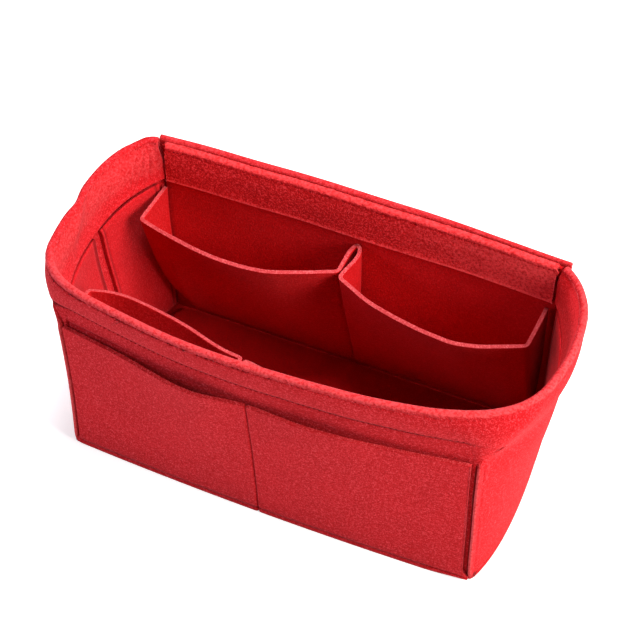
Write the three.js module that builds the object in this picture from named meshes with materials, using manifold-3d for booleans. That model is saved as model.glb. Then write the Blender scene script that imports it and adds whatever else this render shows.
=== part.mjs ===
import * as THREE from 'three';
import { mergeVertices } from 'three/addons/utils/BufferGeometryUtils.js';
import Module from 'manifold-3d';

// A soft felt organizer that stands inside a handbag: a wrap of felt with pinched front corners, a flat back,
// a base with a loose stiffener, and pockets inside and out. Millimetres, +Z up. X runs along the length and
// Y from front to back. The origin is the middle of the base, on the floor.

// Felt
const FELT = 3; // thickness of every sheet
const SEAM_GAP = 0.3; // air left between two sheets that are sewn together
const FELT_COLOUR = 0xc41424;

// Body
const BASE_LENGTH = 298;
const BASE_WIDTH = 146;
const HEIGHT = 160;
const HEM_DEPTH = 29; // how far the folded hem reaches down inside the front and the back
const SIDE_HEM_DEPTH = 36; // and inside the two sides

// Wrap wall: control points of its outline, at the floor and what the height adds
const CORNER_INSET = 2.5; // the pinched corner stands this far inside the base's width
const CORNER_LEAN = 5; // the corner leans forward by this from floor to rim
const CORNER_DRAW = 2; // and in by this
const CORNER_OPENING = 22; // above the pinch the corner moves out sideways by this
const SIDE_BOW = 15; // the side's control point stands this far outside the base's length
const SIDE_BOW_Y = -27;
const SIDE_FLARE = 35;
const SIDE_FLARE_Y = 32;
const RIM_DRAW_IN = 12; // the sewn rim holds the flare back by this
const RIM_DRAW_BACK = 57;
const FRONT_BOW = 11; // the front's control point stands this far before its corners
const FRONT_FLARE = 26;
const RIM_ROUND_SIDE = 36; // rounding of the rim's front corners, along the side and along the front
const RIM_ROUND_FRONT = 52;

// Pinched front corners
const PINCH_DROP = 43; // from the rim down to the top of the pinched fold
const PINCH_DEPTH = 4.5; // how far the pinched fold stands out
const PINCH_ROUND = 5; // rounding of the wall under the fold
const PINCH_TIP = 2; // height over which the fold ends
const PINCH_RELEASE = 3; // the wall starts to open this far below the top of the fold
const PINCH_CREST = 0.25; // share of the corner's curve on each side of the fold

// Back wall
const EAR = 3; // seam edge that stands out past each side wall
const BACK_FLARE = 3.5; // each end leans out by this from floor to rim
const BACK_LEAN = 2; // the wall leans back by this from floor to rim
const BACK_BOW = 4; // the middle of its rim bows back by this

// Base
const INSERT_THICKNESS = 3.5;
const INSERT_CLEARANCE = 3;
const INSERT_ROUND = 12;

// Outer pockets
const FRONT_LIP_RISE = 1; // the front pocket's top edge stands this far above the pinched folds
const FRONT_MOUTH = 5.2; // how far each half of the front pocket stands open
const FRONT_MOUTH_LEAN = 1.7; // above 1, each half opens widest towards the middle
const BACK_MOUTH = 1.5; // the back pocket reaches up to the rim and stands open by this

// Pleated inner pockets, one strip of felt on the back wall and one on the front wall
const STRIP_FOOT = 9;
const STRIP_DROP = 10; // from the front and back hem down to the top of the strip
const PLEAT_SLOT = 2.4; // air between the two legs of the centre pleat
const BACK_STRIP = { inset: 8, gusset: 39, pleat: 30, bow: 17 }; // inset: from each end of the base
const FRONT_STRIP = { inset: 6.5, gusset: 28, pleat: 22, bow: 8 };
const GUSSET_START = 0.1; // share of the strip's height where gusset and pleat begin to open
const PLEAT_START = 0.25;

// Slip pockets on the side walls
const SIDE_LIP_DROP = 1; // from the side hem down to the pockets' top edge
const SIDE_POCKET_FOOT = 8;
const SIDE_CLEARANCE = 0.7; // air between these panels and the curved wall behind them
const SIDE_MOUTH = 3;
const BARE_STRIP = 15; // bare wall between the two pockets, along Y
const BARE_STRIP_Y = 2.5;
const REAR_MARGIN = 13; // from the back of the base to the rear pocket
const FRONT_MARGIN = 18; // and from the front to the front pocket

// Places that several pieces share
const HEM_FOOT = HEIGHT - HEM_DEPTH;
const SIDE_HEM_FOOT = HEIGHT - SIDE_HEM_DEPTH;
const PINCH_TOP = HEIGHT - PINCH_DROP;
const FRONT_LIP = PINCH_TOP + FRONT_LIP_RISE;
const STRIP_TOP = HEM_FOOT - STRIP_DROP;
const SIDE_LIP = SIDE_HEM_FOOT - SIDE_LIP_DROP;
const INSERT_FLOOR = FELT + SEAM_GAP;

// Fineness of the curves
const CURVE_STEPS = 8;
const FACE_STEPS = 14;
const ROLL_STEPS = 4;
const PANEL_ROWS = 8;

const wasm = await Module();
wasm.setup();

// Evenly spaced numbers from first to last, both included.
function spaced(first, last, steps) {
  return Array.from({ length: steps + 1 }, (_, i) => first + ((last - first) * i) / steps);
}

// Points of the rolled edge of a fold, as [depth, height], from the outside over the top to the inside.
function rolledEdge(top) {
  return spaced(Math.PI, 0, ROLL_STEPS)
    .slice(1, -1)
    .map((angle) => [FELT + FELT * Math.cos(angle), top - FELT + FELT * Math.sin(angle)]);
}

// A closed solid skinned over rings of points that share one section. The section, as [x, y] pairs, closes the ends.
function loft(rings, section) {
  const count = section.length;
  const positions = rings.flat().flatMap((p) => [p.x, p.y, p.z]);
  const index = [];
  for (let ring = 0; ring + 1 < rings.length; ring += 1) {
    for (let i = 0; i < count; i += 1) {
      const j = (i + 1) % count;
      const a = ring * count;
      const b = a + count;
      index.push(a + i, a + j, b + j, a + i, b + j, b + i);
    }
  }
  const contour = section.map(([x, y]) => new THREE.Vector2(x, y));
  const turn = THREE.ShapeUtils.isClockWise(contour) ? -1 : 1;
  const last = (rings.length - 1) * count;
  for (const [a, b, c] of THREE.ShapeUtils.triangulateShape(contour, [])) {
    const [p, q] = turn > 0 ? [b, c] : [c, b];
    index.push(a, q, p, last + a, last + p, last + q);
  }
  const geometry = new THREE.BufferGeometry();
  geometry.setAttribute('position', new THREE.Float32BufferAttribute(positions, 3));
  geometry.setIndex(turn > 0 ? index : index.toReversed());
  return facingOut(geometry);
}

// Turns every triangle round if the solid is inside out.
function facingOut(geometry) {
  const position = geometry.getAttribute('position');
  const index = geometry.getIndex().array;
  const corner = (i) => new THREE.Vector3().fromBufferAttribute(position, index[i]);
  let volume = 0;
  for (let i = 0; i < index.length; i += 3) {
    volume += corner(i).dot(corner(i + 1).cross(corner(i + 2)));
  }
  if (volume < 0) {
    geometry.setIndex([...index].reverse());
  }
  return geometry;
}

function toSolid(geometry) {
  const plain = geometry.clone();
  plain.deleteAttribute('normal');
  plain.deleteAttribute('uv');
  const merged = mergeVertices(plain);
  return new wasm.Manifold(new wasm.Mesh({
    numProp: 3,
    vertProperties: new Float32Array(merged.getAttribute('position').array),
    triVerts: new Uint32Array(merged.getIndex().array),
  }));
}

function fromSolid(solid) {
  const mesh = solid.getMesh();
  const geometry = new THREE.BufferGeometry();
  geometry.setAttribute('position', new THREE.BufferAttribute(mesh.vertProperties, mesh.numProp));
  geometry.setIndex(new THREE.BufferAttribute(mesh.triVerts, 1));
  return geometry;
}

const insert = new THREE.Group();

function addFelt(name, geometry) {
  geometry.computeVertexNormals();
  const material = new THREE.MeshStandardMaterial({ color: FELT_COLOUR, roughness: 0.95, metalness: 0 });
  const mesh = new THREE.Mesh(geometry, material);
  mesh.name = name;
  insert.add(mesh);
}

// Wrap wall

function towards(from, to, distance) {
  return to.clone().sub(from).setLength(distance).add(from);
}

function backHalfLength(z) {
  return BASE_LENGTH / 2 + (BACK_FLARE * z) / HEIGHT;
}

// The outside of the back wall.
function backFace(x, z) {
  const rise = z / HEIGHT;
  return BASE_WIDTH / 2 + rise * (BACK_LEAN + BACK_BOW * (1 - (x / backHalfLength(z)) ** 2));
}

// The wall's outer edge at one height, as five curves: left side, left corner, front, right corner, right side.
// Its two ends butt against the back wall.
function wallOutline(z) {
  const rise = z / HEIGHT;
  const release = THREE.MathUtils.smoothstep(z, PINCH_TOP - PINCH_RELEASE, HEIGHT);
  const backX = backHalfLength(z) - EAR;
  const back = new THREE.Vector2(backX, backFace(backHalfLength(z), z) - FELT - SEAM_GAP);
  const side = new THREE.Vector2(
    BASE_LENGTH / 2 + SIDE_BOW + SIDE_FLARE * rise - RIM_DRAW_IN * release,
    SIDE_BOW_Y + SIDE_FLARE_Y * rise + RIM_DRAW_BACK * release,
  );
  const corner = new THREE.Vector2(
    BASE_LENGTH / 2 - CORNER_DRAW * rise + CORNER_OPENING * release,
    CORNER_INSET - BASE_WIDTH / 2 - CORNER_LEAN * rise,
  );
  const front = new THREE.Vector2(0, CORNER_INSET - BASE_WIDTH / 2 - FRONT_BOW - FRONT_FLARE * rise);
  const sideEnd = towards(corner, side, THREE.MathUtils.lerp(PINCH_ROUND, RIM_ROUND_SIDE, release));
  const frontEnd = towards(corner, front, THREE.MathUtils.lerp(PINCH_ROUND, RIM_ROUND_FRONT, release));
  const [backL, sideL, sideEndL, cornerL, frontEndL] = [back, side, sideEnd, corner, frontEnd]
    .map((p) => new THREE.Vector2(-p.x, p.y));
  return [
    new THREE.QuadraticBezierCurve(backL, sideL, sideEndL),
    new THREE.QuadraticBezierCurve(sideEndL, cornerL, frontEndL),
    new THREE.QuadraticBezierCurve(frontEndL, front, frontEnd),
    new THREE.QuadraticBezierCurve(frontEnd, corner, sideEnd),
    new THREE.QuadraticBezierCurve(sideEnd, side, back),
  ];
}

// A point at a depth inside the wall's outer face.
function wallPoint(stretch, t, depth, z) {
  const curve = wallOutline(z)[stretch];
  const along = curve.getTangent(t);
  const inward = new THREE.Vector2(-along.y, along.x);
  const point = curve.getPoint(t).addScaledVector(inward, depth);
  return new THREE.Vector3(point.x, point.y, z);
}

// How far the pinched fold moves the wall's outer face, and which way.
function pinch(stretch, t, depth, z) {
  const move = new THREE.Vector3();
  const onCrest = t >= PINCH_CREST && t <= 1 - PINCH_CREST;
  if ((stretch === 1 || stretch === 3) && onCrest && depth === 0 && z < PINCH_TOP) {
    const { v0, v1, v2 } = wallOutline(z)[stretch];
    const out = v1.clone().multiplyScalar(2).sub(v0).sub(v2).setLength(PINCH_DEPTH);
    move.set(out.x, out.y, 0);
  }
  return move;
}

// The hem's lower edge: deeper along the sides, rising round the corners to the front.
function hemFoot(stretch, t) {
  const share = [0, t, 1, 1 - t, 0][stretch];
  return THREE.MathUtils.lerp(SIDE_HEM_FOOT, HEM_FOOT, share);
}

function wallSection(foot) {
  const outside = [...spaced(0, PINCH_TOP - PINCH_TIP, 5), ...spaced(PINCH_TOP, HEIGHT - FELT, 6)];
  return [
    ...outside.map((z) => [0, z]),
    ...rolledEdge(HEIGHT),
    ...spaced(HEIGHT - FELT, foot, 5).map((z) => [2 * FELT, z]),
    ...spaced(foot, 0, 12).map((z) => [FELT, z]),
  ];
}

function wrapWall() {
  const rings = [];
  for (let stretch = 0; stretch < 5; stretch += 1) {
    for (const t of spaced(0, 1, CURVE_STEPS).slice(stretch === 0 ? 0 : 1)) {
      const section = wallSection(hemFoot(stretch, t));
      rings.push(section.map(([depth, z]) => wallPoint(stretch, t, depth, z).add(pinch(stretch, t, depth, z))));
    }
  }
  return loft(rings, wallSection(SIDE_HEM_FOOT));
}

addFelt('wrap_wall', wrapWall());

// Back wall: a panel with the hem folded over its top between the two side walls

function panelSection(foot, top) {
  const heights = spaced(foot, top, PANEL_ROWS);
  return [...heights.map((z) => [0, z]), ...heights.toReversed().map((z) => [FELT, z])];
}

function backWall() {
  const panel = panelSection(0, HEIGHT - FELT);
  const panelRings = spaced(-1, 1, FACE_STEPS).map((share) => panel.map(([depth, z]) => {
    const x = share * backHalfLength(z);
    return new THREE.Vector3(x, backFace(x, z) - depth, z);
  }));
  const fold = [
    [0, HEIGHT - 2 * FELT],
    [0, HEIGHT - FELT],
    ...rolledEdge(HEIGHT),
    ...spaced(HEIGHT - FELT, HEM_FOOT, 3).map((z) => [2 * FELT, z]),
    [FELT / 2, HEM_FOOT],
    [FELT / 2, HEIGHT - 2 * FELT],
  ];
  const sideEnds = spaced(HEM_FOOT, HEIGHT, 4).map((z) => wallPoint(4, 1, 2 * FELT, z).x);
  const hemHalf = Math.min(...sideEnds) - SEAM_GAP;
  const foldRings = spaced(-hemHalf, hemHalf, FACE_STEPS).map((x) => fold.map(([depth, z]) => (
    new THREE.Vector3(x, backFace(x, z) - depth, z)
  )));
  return fromSolid(toSolid(loft(panelRings, panel)).add(toSolid(loft(foldRings, fold))));
}

addFelt('back_wall', backWall());

// Base panel, sewn inside the walls, and the loose stiffener that lies on it

function basePanel() {
  const edge = [];
  for (let stretch = 0; stretch < 5; stretch += 1) {
    for (const t of spaced(0, 1, CURVE_STEPS).slice(stretch === 0 ? 0 : 1)) {
      const { x, y } = wallPoint(stretch, t, FELT + SEAM_GAP, 0);
      edge.push(new THREE.Vector2(x, y));
    }
  }
  return new THREE.ExtrudeGeometry(new THREE.Shape(edge), { depth: FELT, bevelEnabled: false });
}

function baseInsert() {
  const halfLength = BASE_LENGTH / 2 - EAR - FELT - INSERT_CLEARANCE;
  const front = CORNER_INSET + FELT + INSERT_CLEARANCE - BASE_WIDTH / 2;
  const back = backFace(0, 0) - FELT - INSERT_CLEARANCE;
  const round = INSERT_ROUND;
  const outline = new THREE.Shape();
  outline.absarc(halfLength - round, back - round, round, 0, Math.PI / 2);
  outline.absarc(round - halfLength, back - round, round, Math.PI / 2, Math.PI);
  outline.absarc(round - halfLength, front + round, round, Math.PI, 1.5 * Math.PI);
  outline.absarc(halfLength - round, front + round, round, 1.5 * Math.PI, 2 * Math.PI);
  const board = new THREE.ExtrudeGeometry(outline, {
    depth: INSERT_THICKNESS,
    bevelEnabled: false,
    curveSegments: CURVE_STEPS,
  });
  return board.translate(0, 0, INSERT_FLOOR);
}

addFelt('base_panel', basePanel());
addFelt('base_insert', baseInsert());

// Outer pockets: one panel across the front, sewn down its middle, and one flat panel across the back

function frontOuterPocket() {
  const section = panelSection(0, FRONT_LIP);
  const rings = spaced(0, 1, 2 * FACE_STEPS).map((t) => section.map(([layer, z]) => {
    const fromEnd = 1 - Math.abs(2 * t - 1);
    const arch = Math.sin(Math.PI * fromEnd ** FRONT_MOUTH_LEAN) ** 2;
    const open = FRONT_MOUTH * arch * (z / FRONT_LIP) ** 2;
    return wallPoint(2, t, -SEAM_GAP - open - layer, z);
  }));
  return loft(rings, section);
}

function backOuterPocket() {
  const section = panelSection(0, HEIGHT);
  const rings = spaced(0, 1, FACE_STEPS).map((t) => section.map(([layer, z]) => {
    const open = BACK_MOUTH * Math.sin(Math.PI * t) * (z / HEIGHT) ** 2;
    const x = THREE.MathUtils.lerp(-backHalfLength(z), backHalfLength(z), t);
    return new THREE.Vector3(x, backFace(x, z) + SEAM_GAP + open + layer, z);
  }));
  return loft(rings, section);
}

addFelt('front_outer_pocket', frontOuterPocket());
addFelt('back_outer_pocket', backOuterPocket());

// Pleated inner pockets. Each strip is sewn to its wall at both ends, at the middle and along its foot.
// Its faces lean away from the wall, between gussets that are widest at the top.

function backInside(x, z) {
  return backFace(x, z) - FELT;
}

// The front's inner face at a given X. The share runs from 0.5 at the middle over 1 into the right corner.
function frontInside(x, z) {
  const inside = (share) => (share < 1 ? wallPoint(2, share, FELT, z) : wallPoint(3, share - 1, FELT, z));
  let near = 0.5;
  let far = 2;
  for (let halving = 0; halving < 30; halving += 1) {
    const middle = (near + far) / 2;
    if (inside(middle).x < Math.abs(x)) {
      near = middle;
    } else {
      far = middle;
    }
  }
  return inside(near).y;
}

function pleatedPocket(name, sizes, wallInside, away) {
  const half = BASE_LENGTH / 2 - sizes.inset;
  const slot = PLEAT_SLOT / 2;

  // The side of a face that looks at the wall.
  const faceBack = (x, z) => {
    const across = THREE.MathUtils.clamp((half - Math.abs(x)) / (half - slot), 0, 1);
    const rise = (z - STRIP_FOOT) / (STRIP_TOP - STRIP_FOOT);
    const depth = THREE.MathUtils.lerp(sizes.gusset, sizes.pleat, across) + sizes.bow * Math.sin(Math.PI * across);
    return wallInside(x, z) + away * (SEAM_GAP + rise * depth);
  };
  const heightAt = (share) => THREE.MathUtils.lerp(STRIP_FOOT, STRIP_TOP, share);

  const face = (side) => {
    const section = panelSection(STRIP_FOOT, STRIP_TOP);
    const rings = spaced(half, slot, FACE_STEPS).map((distance) => section.map(([layer, z]) => {
      const x = side * distance;
      return new THREE.Vector3(x, faceBack(x, z) + away * layer, z);
    }));
    return loft(rings, section);
  };

  const gusset = (side) => {
    const heights = spaced(heightAt(GUSSET_START), STRIP_TOP, PANEL_ROWS);
    const section = [...heights.map((z) => [0, z]), ...heights.toReversed().map((z) => [1, z])];
    const rings = [half, half - FELT].map((distance) => section.map(([atFace, z]) => {
      const x = side * distance;
      const y = atFace ? faceBack(x, z) - away * SEAM_GAP : wallInside(x, z) + away * SEAM_GAP;
      return new THREE.Vector3(x, y, z);
    }));
    return loft(rings, section);
  };

  // A fold of two legs that turn back on themselves at the wall.
  const pleat = () => {
    const leg = slot + FELT;
    const section = [[-leg, 1], [-leg, 0], [leg, 0], [leg, 1], [slot, 1], [slot, 0.5], [-slot, 0.5], [-slot, 1]];
    const rings = spaced(heightAt(PLEAT_START), STRIP_TOP, PANEL_ROWS).map((z) => section.map(([x, reach]) => {
      const atWall = wallInside(x, z) + away * SEAM_GAP;
      const atFace = faceBack(x, z) - away * SEAM_GAP;
      const y = { 0: atWall, 0.5: atWall + away * FELT, 1: atFace }[reach];
      return new THREE.Vector3(x, y, z);
    }));
    return loft(rings, section);
  };

  addFelt(`${name}_left_face`, face(-1));
  addFelt(`${name}_right_face`, face(1));
  addFelt(`${name}_left_gusset`, gusset(-1));
  addFelt(`${name}_right_gusset`, gusset(1));
  addFelt(`${name}_centre_pleat`, pleat());
}

pleatedPocket('back_pocket', BACK_STRIP, backInside, -1);
pleatedPocket('front_pocket', FRONT_STRIP, frontInside, 1);

// Slip pockets: two panels on each side wall, with a strip of bare wall between them

// Where the side's curve crosses a given Y.
function sideShare(y, z) {
  const { v0, v1, v2 } = wallOutline(z)[0];
  const fall = v0.y - v1.y;
  const bend = v0.y - 2 * v1.y + v2.y;
  return (v0.y - y) / (fall + Math.sqrt(fall * fall - bend * (v0.y - y)));
}

function sidePocket(mirror, from, to) {
  const section = panelSection(SIDE_POCKET_FOOT, SIDE_LIP);
  const rings = spaced(from, to, CURVE_STEPS).map((y) => section.map(([layer, z]) => {
    const across = (y - from) / (to - from);
    const rise = (z - SIDE_POCKET_FOOT) / (SIDE_LIP - SIDE_POCKET_FOOT);
    const open = SIDE_MOUTH * Math.sin(Math.PI * across) * rise ** 2;
    const point = wallPoint(0, sideShare(y, z), FELT + SIDE_CLEARANCE + open + layer, z);
    point.x *= mirror;
    return point;
  }));
  return loft(rings, section);
}

for (const [side, mirror] of [['left', 1], ['right', -1]]) {
  const [rearEdge, frontEdge] = [BARE_STRIP_Y + BARE_STRIP / 2, BARE_STRIP_Y - BARE_STRIP / 2];
  addFelt(`${side}_rear_side_pocket`, sidePocket(mirror, rearEdge, BASE_WIDTH / 2 - REAR_MARGIN));
  addFelt(`${side}_front_side_pocket`, sidePocket(mirror, FRONT_MARGIN - BASE_WIDTH / 2, frontEdge));
}

export default insert;
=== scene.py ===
# %% [markdown]
# A felt organizer that stands inside a handbag. It is all one material, red wool felt about 3 mm thick,
# folded at the rim, pinched at two corners and sewn with matching thread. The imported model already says
# where every sheet lies. This lesson builds the sheets again as soft felt, with real folds and stitches.

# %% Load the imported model
import math

import bmesh
import bpy
import numpy as np
from mathutils import Matrix, Vector, noise


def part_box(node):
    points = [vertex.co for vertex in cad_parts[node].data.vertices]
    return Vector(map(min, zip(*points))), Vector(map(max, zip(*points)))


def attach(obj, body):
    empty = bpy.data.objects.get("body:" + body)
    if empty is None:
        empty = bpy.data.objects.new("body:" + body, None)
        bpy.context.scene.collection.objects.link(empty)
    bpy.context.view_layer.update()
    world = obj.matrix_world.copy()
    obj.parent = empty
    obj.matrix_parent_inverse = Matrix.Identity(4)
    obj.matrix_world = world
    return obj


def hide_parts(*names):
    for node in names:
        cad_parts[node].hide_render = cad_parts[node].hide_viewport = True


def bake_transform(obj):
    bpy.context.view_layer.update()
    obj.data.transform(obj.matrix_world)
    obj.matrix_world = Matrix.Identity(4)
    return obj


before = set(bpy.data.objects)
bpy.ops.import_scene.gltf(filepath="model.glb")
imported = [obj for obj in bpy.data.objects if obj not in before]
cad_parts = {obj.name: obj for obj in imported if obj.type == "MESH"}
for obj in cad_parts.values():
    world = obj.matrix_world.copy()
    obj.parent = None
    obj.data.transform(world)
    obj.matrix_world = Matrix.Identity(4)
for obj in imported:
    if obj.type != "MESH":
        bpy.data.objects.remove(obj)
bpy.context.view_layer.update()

# %% [markdown]
# The camera comes first, because every later choice is judged through it. It stands a little to the right
# of the front and looks down at about 46 degrees, from far enough away that the sides hardly converge.
# Its three axes are worked out from those angles, so no target object is needed.

# %% Camera
AIM = Vector((0, 0, 0.08))
DISTANCE = 1.36185
SLIDE_RIGHT, SLIDE_UP = 0.00581, 0.02353

turn, lift, roll = math.radians(25.428), math.radians(46.12), math.radians(-0.682)
towards_camera = Vector((math.sin(turn) * math.cos(lift), -math.cos(turn) * math.cos(lift), math.sin(lift)))
level = Vector((0, 0, 1)).cross(towards_camera).normalized()
upright = towards_camera.cross(level)
camera_right = math.cos(roll) * level + math.sin(roll) * upright
camera_up = math.cos(roll) * upright - math.sin(roll) * level

camera = bpy.data.objects.new("camera", bpy.data.cameras.new("camera"))
camera.data.sensor_width = 36
camera.data.lens = 112.907
camera.rotation_euler = Matrix((camera_right, camera_up, towards_camera)).transposed().to_euler()
camera.location = towards_camera * DISTANCE + camera_right * SLIDE_RIGHT + camera_up * SLIDE_UP + AIM
bpy.context.collection.objects.link(camera)
bpy.context.scene.camera = camera
print("camera at", [round(c, 3) for c in camera.location])

# %% [markdown]
# Shader maths reads best as plain arithmetic. This small class wraps one socket of a material, and the
# usual operators between wrapped sockets and numbers add the Math nodes. Every other node comes from the
# one method below, which sets a node's options first and then its sockets.

# %% Arithmetic for materials
class Dye:
    def __init__(self, tree, socket=None):
        self.tree = tree
        self.socket = socket

    def node(self, kind, settings, sockets, output=0):
        made = self.tree.nodes.new(kind)
        for name, value in settings.items():
            setattr(made, name, value)
        for name, value in sockets.items():
            if isinstance(value, Dye):
                self.tree.links.new(value.socket, made.inputs[name])
            else:
                made.inputs[name].default_value = value
        return Dye(self.tree, made.outputs[output])

    def maths(self, operation, first, second):
        return self.node("ShaderNodeMath", {"operation": operation}, {0: first, 1: second})

    def __add__(self, other):
        return self.maths("ADD", self, other)

    def __radd__(self, other):
        return self.maths("ADD", other, self)

    def __sub__(self, other):
        return self.maths("SUBTRACT", self, other)

    def __rsub__(self, other):
        return self.maths("SUBTRACT", other, self)

    def __mul__(self, other):
        return self.maths("MULTIPLY", self, other)

    def __rmul__(self, other):
        return self.maths("MULTIPLY", other, self)

    def between(self, low, high):
        return self.node("ShaderNodeMapRange", {"interpolation_type": "SMOOTHSTEP"},
                         {"Value": self, "From Min": low, "From Max": high})

    def blend(self, low_colour, high_colour):
        # A Mix node has its own sockets for every data type: 6, 7 and output 2 are those for colours.
        return self.node("ShaderNodeMix", {"data_type": "RGBA"},
                         {0: self, 6: low_colour, 7: high_colour}, 2)


print("sockets can be added, subtracted and multiplied")

# %% [markdown]
# Felt is a mat of short fibres, so it has no weave: close up it is a fine speckle, further off faint cloudy
# patches. Three noises on Object coordinates give the fibres, the tufts they gather into, and the patches.
# A picture of felt would need seams at every fold, and noise needs none.
# The sheets carry two attributes. The first is 1 in a stitched groove, where the fibres lie flat, and there it
# darkens the colour, partly as painted shade; on some slots and edges it is painted in purely as shade. It is
# negative along a fold, where tufts stand up and look paler, and on surfaces that catch the light, as painted
# highlight. The second says how far the speckle shows, and it is low where the inside lies in shade, as
# painted shade. A pale sheen stands for the loose fibres that catch light at a glancing angle.

# %% Felt
FIBRE_SCALE, TUFT_SCALE, PATCH_SCALE = 1150.0, 560.0, 38.0
BUMP_HEIGHT = 0.0007


def felt(name, dark, light, speck, tuft_and_highlight, fuzz, grain=1.0):
    material = bpy.data.materials.new(name)
    material.use_nodes = True
    tree = material.node_tree
    start = Dye(tree)
    place = start.node("ShaderNodeTexCoord", {}, {}, "Object")

    def mottle(scale, detail, rough):
        return start.node("ShaderNodeTexNoise", {"noise_dimensions": "3D"},
                          {"Vector": place, "Scale": scale, "Detail": detail, "Roughness": rough})

    fibres = mottle(FIBRE_SCALE * grain, 1.5, 0.6)
    tufts = mottle(TUFT_SCALE * grain, 2.0, 0.6)
    patches = mottle(PATCH_SCALE, 2.0, 0.5)
    press_and_painted_light = start.node("ShaderNodeAttribute", {"attribute_name": "press_and_painted_light"}, {}, "Fac")
    nap_and_shade = start.node("ShaderNodeAttribute", {"attribute_name": "nap_and_shade"}, {}, "Fac")
    speckle = ((fibres - 0.5) * 1.9 + (tufts - 0.5) * 1.3) * (nap_and_shade * 0.7 + 0.3)
    tone = speckle + (patches - 0.5) * 0.4 + 0.5
    ground = tone.between(0.0, 1.0).blend(dark, light)
    # Negative values blend towards the pale tuft colour, partly as painted highlight; positive values blend
    # towards the dark groove colour, partly as painted shade.
    with_tufts_and_highlight = ((0.0 - press_and_painted_light) * (tufts * 2.4 - 0.35)).between(0.0, 0.9).blend(ground, tuft_and_highlight)
    pale = (fibres * 0.6 + tufts * 0.4).between(0.49, 0.68) * nap_and_shade
    speckled = pale.blend(with_tufts_and_highlight, speck)
    groove_and_shade_colour = (dark[0] * 0.36, dark[1] * 0.3, dark[2] * 0.3, 1)
    coloured = (press_and_painted_light * 0.9).between(0.1, 1.0).blend(speckled, groove_and_shade_colour)
    surface = tree.nodes["Principled BSDF"]
    tree.links.new(coloured.socket, surface.inputs["Base Color"])
    height = fibres * 0.6 + tufts * 0.7
    bump = start.node("ShaderNodeBump", {}, {"Strength": 0.7, "Distance": BUMP_HEIGHT, "Height": height})
    tree.links.new(bump.socket, surface.inputs["Normal"])
    surface.inputs["Roughness"].default_value = 0.95
    surface.inputs["Specular IOR Level"].default_value = 0.08
    surface.inputs["Sheen Weight"].default_value = fuzz
    surface.inputs["Sheen Roughness"].default_value = 0.5
    surface.inputs["Sheen Tint"].default_value = (1.0, 0.25, 0.28, 1.0)
    return material


print("noise scales per metre", FIBRE_SCALE, TUFT_SCALE, PATCH_SCALE)

# %% [markdown]
# All sheets are cut from one felt, and light changes how it looks. The inside felt is a deeper, less pink copy
# with a weaker sheen, painted shade for the surfaces that lie in shade inside. The hem felt is a brighter copy
# with the strongest speckle, painted light for the back hem, which faces the lamps. Cut edges have a paler
# felt, and the lip of the front pocket a tone between the two. The thread is the darkest: a darker red,
# darkened further as painted shade of the grooves it lies in.

# %% Kinds of felt
red_felt = felt("red_felt", (0.41, 0.003, 0.005, 1), (0.61, 0.009, 0.015, 1), (0.67, 0.048, 0.061, 1),
                (0.66, 0.082, 0.087, 1), 0.24)
shaded_inside_felt = felt("shaded_inside_felt", (0.41, 0.002, 0.003, 1), (0.61, 0.007, 0.010, 1), (0.67, 0.040, 0.050, 1),
                   (0.74, 0.020, 0.025, 1), 0.07)
lit_hem_felt = felt("lit_hem_felt", (0.36, 0.002, 0.003, 1), (0.77, 0.012, 0.015, 1), (0.86, 0.06, 0.07, 1),
                (0.84, 0.068, 0.073, 1), 0.08, 0.92)
lip_felt = felt("lip_felt", (0.40, 0.008, 0.011, 1), (0.60, 0.026, 0.032, 1), (0.70, 0.080, 0.092, 1),
                (0.72, 0.076, 0.082, 1), 0.2)
cut_felt = felt("cut_felt", (0.36, 0.018, 0.023, 1), (0.58, 0.066, 0.074, 1), (0.78, 0.19, 0.20, 1),
                (0.78, 0.14, 0.15, 1), 0.26)
thread = felt("red_thread", (0.22, 0.002, 0.004, 1), (0.36, 0.005, 0.010, 1), (0.42, 0.015, 0.02, 1),
              (0.42, 0.015, 0.02, 1), 0.1)
print("materials", [m.name for m in (red_felt, shaded_inside_felt, lit_hem_felt, lip_felt, cut_felt, thread)])

# %% [markdown]
# Soft felt never stands quite true. A slow noise and a quicker one push all sheets about by up to a
# millimetre or so, less near the floor and not at all on it. The push depends on the place alone, so
# neighbours move alike and stay apart. Blender starts its noise vectors from the clock, so a seed is set
# first, and every run settles alike. All shapes are worked out in millimetres.

# %% Settling
SLOW_WAVE, QUICK_WAVE = 85, 30
FREE_ABOVE = 50
SEED = 11
noise.seed_set(SEED)


def settle(points):
    flat = points.reshape(-1, 3)
    moved = np.empty_like(flat)
    for i, (x, y, z) in enumerate(flat):
        slow = noise.noise_vector(Vector((x / SLOW_WAVE, y / SLOW_WAVE, z / SLOW_WAVE)))
        quick = noise.noise_vector(Vector((x / QUICK_WAVE + 7, y / QUICK_WAVE, z / QUICK_WAVE)))
        free = min(1.0, max(0.0, z / FREE_ABOVE))
        moved[i] = (
            x + free * (1.1 * slow.x + 0.3 * quick.x),
            y + free * (1.1 * slow.y + 0.3 * quick.y),
            z + free * free * (0.7 * slow.z + 0.2 * quick.z),
        )
    return moved.reshape(points.shape)


spot = np.array([[150.0, -60.0, 155.0]])
print("a point of the rim settles by", (settle(spot) - spot)[0].round(2), "mm")

# %% [markdown]
# Sheets of felt. Each one starts as a flat grid, and every point of the grid is then moved to its place in
# the organizer. A Solidify modifier gives the thickness, thinner where a weight called loft is low, and puts
# another felt on the rim faces. The cut edge of felt is not flat: its middle sinks between two soft
# shoulders. So the thickened mesh is read back, its rim faces are halved, the line between the halves is
# sunk, and the shoulders are bevelled. Where a sheet's points are marked as in shade, it shows the inside
# felt, as painted shade.

# %% Sheets
MM = 0.001
FELT = 3.0
THINNED = 0.15
EDGE_SINK, EDGE_BEVEL = 0.4, 0.4
SHARP_ANGLE = 0.8
FACE, EDGE, INSIDE_SHADE_SLOT = 0, 1, 2


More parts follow.
